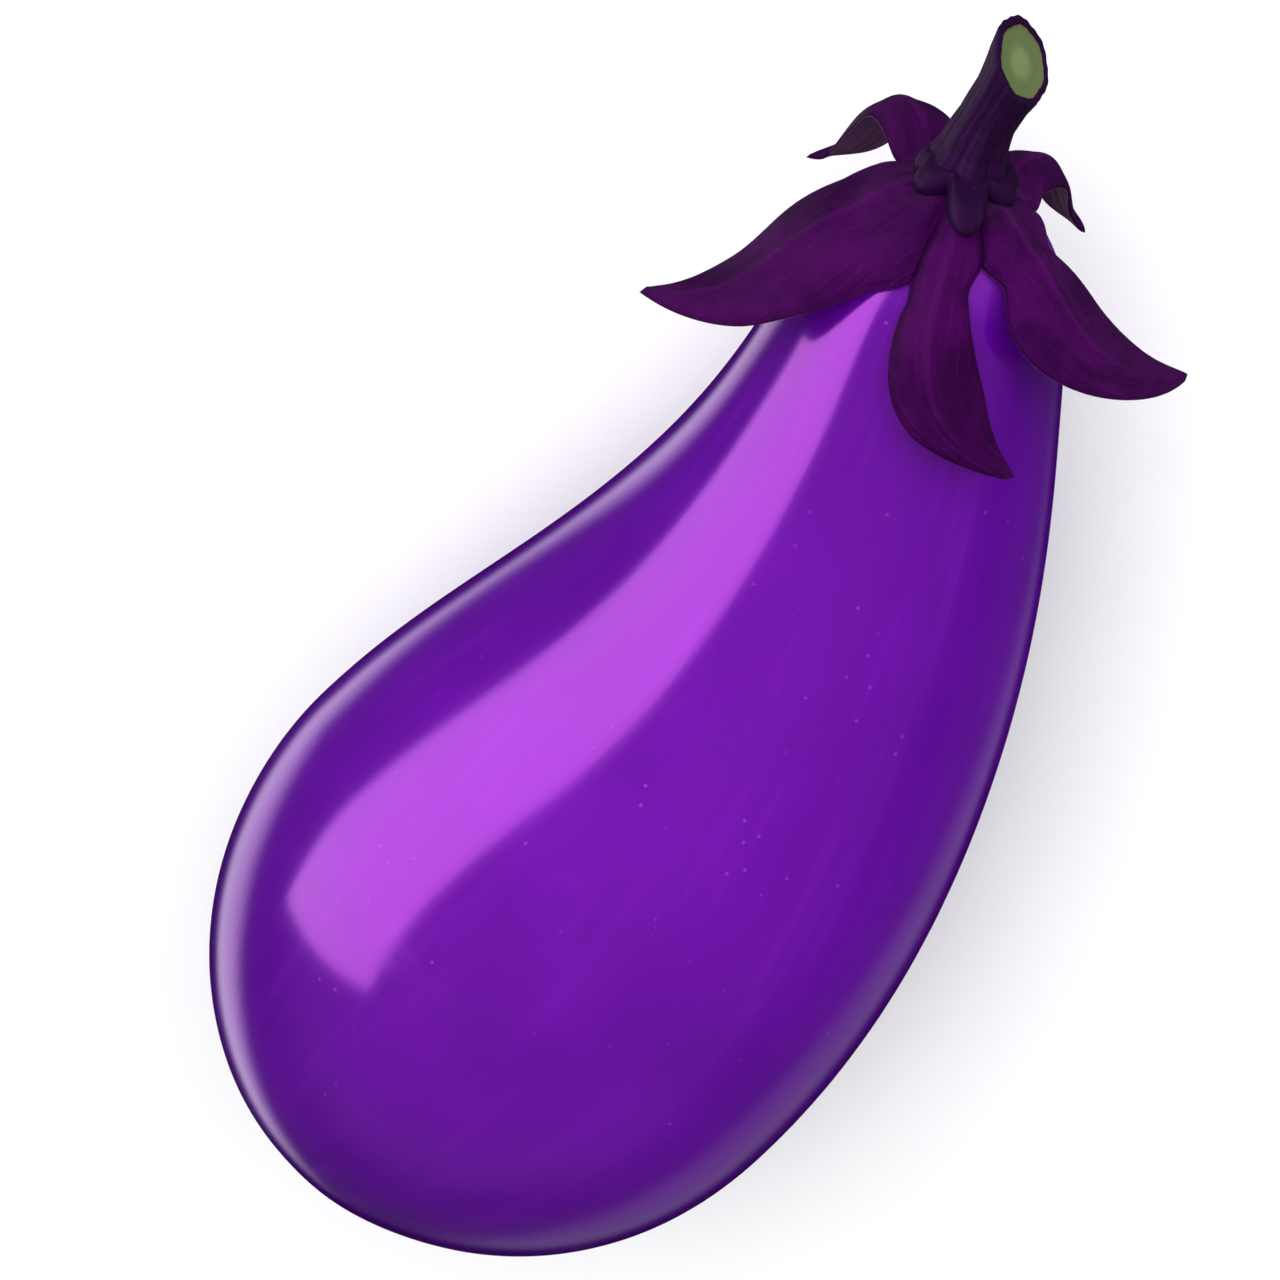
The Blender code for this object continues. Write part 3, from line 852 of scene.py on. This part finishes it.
def make_stem():
    """The stem: a skirt of toes on the calyx, a ribbed stalk and a slanting cut with its rim of bark."""
    turn = tau * np.arange(STEM_SIDES) / STEM_SIDES
    over_calyx = 2 * GROWTH_GAP + CALYX_THICKNESS - SETTLE
    foot = HOLE_RADIUS - GROWTH_GAP
    reach = skirt_reach(turn) - foot
    rings = [skin_points(foot, turn, GROWTH_GAP)[0], skin_points(foot, turn, over_calyx)[0]]
    rings += [skin_points(foot + reach * share, turn, over_calyx + rise)[0] for share, rise in SKIRT_RINGS]
    skirt_top = rings[-1]
    start = stalk_points(np.full_like(turn, STALK_START), turn)
    pull_in = skirt_top + unit(skirt_top - rings[-2]) * SKIRT_PULL
    pull_up = start - stem_lines(STALK_START)[1] * STALK_PULL
    for t in np.linspace(0.0, 1.0, FILLET_ROWS + 1)[1:-1]:
        lower = skirt_top * (1 - t) ** 3 + pull_in * 3 * t * (1 - t) ** 2
        rings.append(lower + pull_up * 3 * t**2 * (1 - t) + start * t**3)
    cut, facing = cut_heights(turn)
    for t in np.linspace(0.0, 1.0, STALK_ROWS):
        rings.append(stalk_points(STALK_START + (cut - STALK_START) * t, turn))
    rim = rings[-1]
    middle = rim.mean(axis=0)
    for share, rise in BARK_RIM_RINGS + FLESH_RINGS:
        rings.append(middle + (rim - middle) * share + facing * rise)
    hub = skin_points(np.zeros(1), np.zeros(1), GROWTH_GAP)[0]
    points = np.vstack(rings + [hub, middle[None, :]])
    at, along = stem_lines(0.0)[:2]
    height = (points - at) @ along
    turns = np.append(np.tile(turn, len(rings)), [0.0, 0.0])
    girth = STALK_RADII[2]
    stalk_place = np.stack([girth * np.cos(turns), girth * np.sin(turns), height], axis=1)
    rim_size = np.append(np.tile(np.linalg.norm(rim - middle, axis=1), len(rings)), [1.0, 1.0])
    cut_place = np.stack([np.linalg.norm(points - middle, axis=1) / rim_size, turns, height], axis=1)
    quads = ring_faces(len(rings), STEM_SIDES)
    first_fan = fan_faces(0, STEM_SIDES, len(points) - 2, False)
    last_fan = fan_faces((len(rings) - 1) * STEM_SIDES, STEM_SIDES, len(points) - 1, True)
    places = {"stalk_place": stalk_place, "cut_place": cut_place}
    finishes = [bark_finish(), flesh_finish()]
    stem = make_piece("stem_stalk", points, quads + first_fan + last_fan, finishes, places, "stem")
    finish_of = np.zeros(len(quads) + 2 * STEM_SIDES, dtype=np.int32)
    finish_of[len(quads) - len(FLESH_RINGS) * STEM_SIDES : len(quads)] = 1
    finish_of[len(quads) + STEM_SIDES :] = 1
    stem.data.polygons.foreach_set("material_index", finish_of)


def make_floor():
    """A plain pale surface under the eggplant. The gloss mirrors the room's own dimmer floor in its place,
    so the eggplant's edge stays clear against the white."""
    finish = Finish(bpy.data.materials.new("pale_floor"))
    mottle = finish.grain(finish.solid, 40.0, detail=4.0)
    colour = finish.blend(mottle, FLOOR_GREY, FLOOR_WHITE)
    finish.shade(Base_Color=colour, Roughness=0.6, Specular_IOR_Level=0.2)
    half = FLOOR_HALF_WIDTH
    corners = [(-half, -half, 0), (half, -half, 0), (half, half, 0), (-half, half, 0)]
    mesh = bpy.data.meshes.new("floor")
    mesh.from_pydata(corners, [], [(0, 1, 2, 3)])
    mesh.materials.append(finish.made)
    floor = bpy.data.objects.new("floor", mesh)
    floor.visible_glossy = False
    bpy.context.scene.collection.objects.link(floor)


def hang_softbox(name, turn, rise, distance, width, height, power):
    """A softbox that faces the eggplant."""
    light = bpy.data.lights.new(name, "AREA")
    light.shape = "RECTANGLE"
    light.size, light.size_y = width, height
    light.energy = power
    toward = Vector((cos(rise) * cos(turn), cos(rise) * sin(turn), sin(rise)))
    lamp = bpy.data.objects.new(name, light)
    lamp.location = (cad_box[0] + cad_box[1]) / 2 + toward * distance
    lamp.rotation_euler = toward.to_track_quat("Z", "Y").to_euler()
    bpy.context.scene.collection.objects.link(lamp)
    return lamp


def make_light():
    """Soft studio light in a pale room: a large softbox on the +Y side that shows in the gloss only, and
    two fills without a reflection, one overhead and one on the stem's side."""
    hang_softbox("side_softbox", *SIDE_SOFTBOX).visible_diffuse = False
    hang_softbox("overhead_fill", *OVERHEAD_FILL).visible_glossy = False
    hang_softbox("stem_side_fill", *STEM_SIDE_FILL).visible_glossy = False
    room = Finish(bpy.data.worlds.new("pale_room"), "Background", "Generated")
    above = room.step(room.parts(room.solid)[2], *HORIZON)
    below = MIRRORED_FLOOR
    for middle, edge, core, brightness in LIGHT_POOLS:
        below = below + room.patch(middle, edge, core) * brightness
    below = below * (1.0 - room.patch(*DARK_PATCH))
    room.shade(Color=ROOM_WHITE, Strength=above * ROOM_LIGHT + (1.0 - above) * below)
    bpy.context.scene.world = room.made
    bpy.context.scene.view_settings.view_transform = "Standard"


def make_camera():
    """The camera looks down on the eggplant, tipped towards its stem end, with the stem at the upper right.
    It frames the picture's square."""
    back = Vector((sin(VIEW_INCLINE), 0.0, cos(VIEW_INCLINE)))
    right = Vector((cos(VIEW_SPIN), sin(VIEW_SPIN), 0.0)).cross(back).normalized()
    up = back.cross(right)
    pixel = VIEW_WIDTH / PICTURE_SIZE
    aim = (cad_box[0] + cad_box[1]) / 2
    aim += right * (PICTURE_SIZE / 2 - BOX_MIDDLE_PIXEL[0]) * pixel
    aim += up * (BOX_MIDDLE_PIXEL[1] - PICTURE_SIZE / 2) * pixel
    lens = bpy.data.cameras.new("camera")
    lens.lens = LENS
    lens.sensor_width = SENSOR
    camera = bpy.data.objects.new("camera", lens)
    turned = Matrix((right, up, back)).transposed().to_4x4()
    camera.matrix_world = Matrix.Translation(aim + back * VIEW_WIDTH * LENS / SENSOR) @ turned
    bpy.context.scene.collection.objects.link(camera)
    bpy.context.scene.camera = camera


make_camera()
make_light()
make_floor()
make_fruit()
make_calyx()
make_stem()
